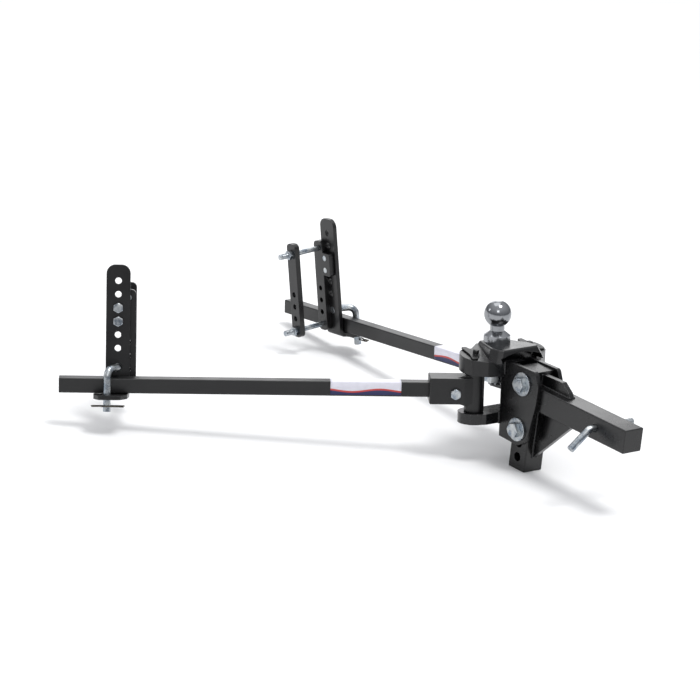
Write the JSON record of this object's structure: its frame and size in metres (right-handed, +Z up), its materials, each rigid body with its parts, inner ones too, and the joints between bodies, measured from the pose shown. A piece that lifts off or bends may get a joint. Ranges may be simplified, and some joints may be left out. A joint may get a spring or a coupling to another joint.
{
  "type": "weight distribution hitch",
  "caption": "Trailer hitch with a tow ball on an adjustable leaning head, swinging square spring bars and frame brackets that slide along them.",
  "frame": {"origin": "centre of the hitch-pin hole in the receiver shank", "axes": "+X forward along the shank into the tow vehicle, +Y left, +Z up"},
  "size_m": [1.2885, 0.9372, 0.3412],
  "materials": {
    "powder_coat": "gloss",
    "bar_powder_coat": "satin",
    "bracket_powder_coat": "gloss",
    "lock_black": "satin",
    "ball_chrome": "polished",
    "zinc_plate": "bright zinc plate",
    "spring_wire": "dark spring wire"
  },
  "bodies": {
    "hitch_head": {"shank_bar": "powder_coat", "shank_post": "powder_coat", "lower_gusset": "powder_coat", "upper_gusset": "powder_coat", "side_plate_right": "powder_coat", "side_plate_left": "powder_coat", "ball_carrier": "powder_coat", "lower_carrier": "powder_coat", "tilt_spacers": "zinc_plate", "tow_ball": "ball_chrome", "ball_lock_washer": "zinc_plate", "ball_nut": "zinc_plate", "head_bolts": "zinc_plate", "head_nuts": "zinc_plate", "head_washers": "zinc_plate"},
    "hitch_pin": {"hitch_pin": "zinc_plate"},
    "trunnion_lock_right": {"trunnion_lock_right": "lock_black"},
    "bar_right": {"trunnion_block_right": "bar_powder_coat", "spring_bar_right": "bar_powder_coat", "bar_bolt_right": "zinc_plate", "bar_nut_right": "zinc_plate"},
    "bracket_right": {"bracket_upright_right": "bracket_powder_coat", "frame_plate_right": "bracket_powder_coat", "clamp_plate_right": "bracket_powder_coat", "clamp_studs_right": "zinc_plate", "clamp_nuts_right": "zinc_plate", "link_bolts_right": "zinc_plate", "retaining_pin_right": "zinc_plate"},
    "clip_right": {"retaining_clip_right": "spring_wire"},
    "trunnion_lock_left": {"trunnion_lock_left": "lock_black"},
    "bar_left": {"trunnion_block_left": "bar_powder_coat", "spring_bar_left": "bar_powder_coat", "bar_bolt_left": "zinc_plate", "bar_nut_left": "zinc_plate"},
    "bracket_left": {"bracket_upright_left": "bracket_powder_coat", "frame_plate_left": "bracket_powder_coat", "clamp_plate_left": "bracket_powder_coat", "clamp_studs_left": "zinc_plate", "clamp_nuts_left": "zinc_plate", "link_bolts_left": "zinc_plate", "retaining_pin_left": "zinc_plate"},
    "clip_left": {"retaining_clip_left": "spring_wire"}
  },
  "joints": [
    {"name": "hitch_pin_pull", "type": "slide", "parent": "hitch_head", "child": "hitch_pin", "axis": [0, -1, 0], "range_m": [0, 0.12]},
    {"name": "trunnion_lock_lift_right", "type": "slide", "parent": "hitch_head", "child": "trunnion_lock_right", "axis": [0.0752, 0, 0.9972], "range_m": [0, 0.012]},
    {"name": "bar_swing_right", "type": "hinge", "parent": "hitch_head", "child": "bar_right", "pos_m": [-0.3256, -0.0752, -0.0175], "axis": [-0.1219, 0, 0.9925], "range_deg": [-35, 20]},
    {"name": "bracket_slide_right", "type": "slide", "parent": "bar_right", "child": "bracket_right", "axis": [-0.5679, -0.8202, -0.0697], "range_m": [-0.06, 0.06]},
    {"name": "clip_pull_right", "type": "slide", "parent": "bracket_right", "child": "clip_right", "axis": [-0.5679, -0.8202, -0.0697], "range_m": [0, 0.06]},
    {"name": "trunnion_lock_lift_left", "type": "slide", "parent": "hitch_head", "child": "trunnion_lock_left", "axis": [0.0752, 0, 0.9972], "range_m": [0, 0.012]},
    {"name": "bar_swing_left", "type": "hinge", "parent": "hitch_head", "child": "bar_left", "pos_m": [-0.3256, 0.0752, -0.0175], "axis": [-0.1219, 0, 0.9925], "range_deg": [-54, 0]},
    {"name": "bracket_slide_left", "type": "slide", "parent": "bar_left", "child": "bracket_left", "axis": [-0.9924, 0.0175, -0.1219], "range_m": [-0.06, 0.06]},
    {"name": "clip_pull_left", "type": "slide", "parent": "bracket_left", "child": "clip_left", "axis": [0.9924, -0.0175, 0.1219], "range_m": [0, 0.06]}
  ]
}
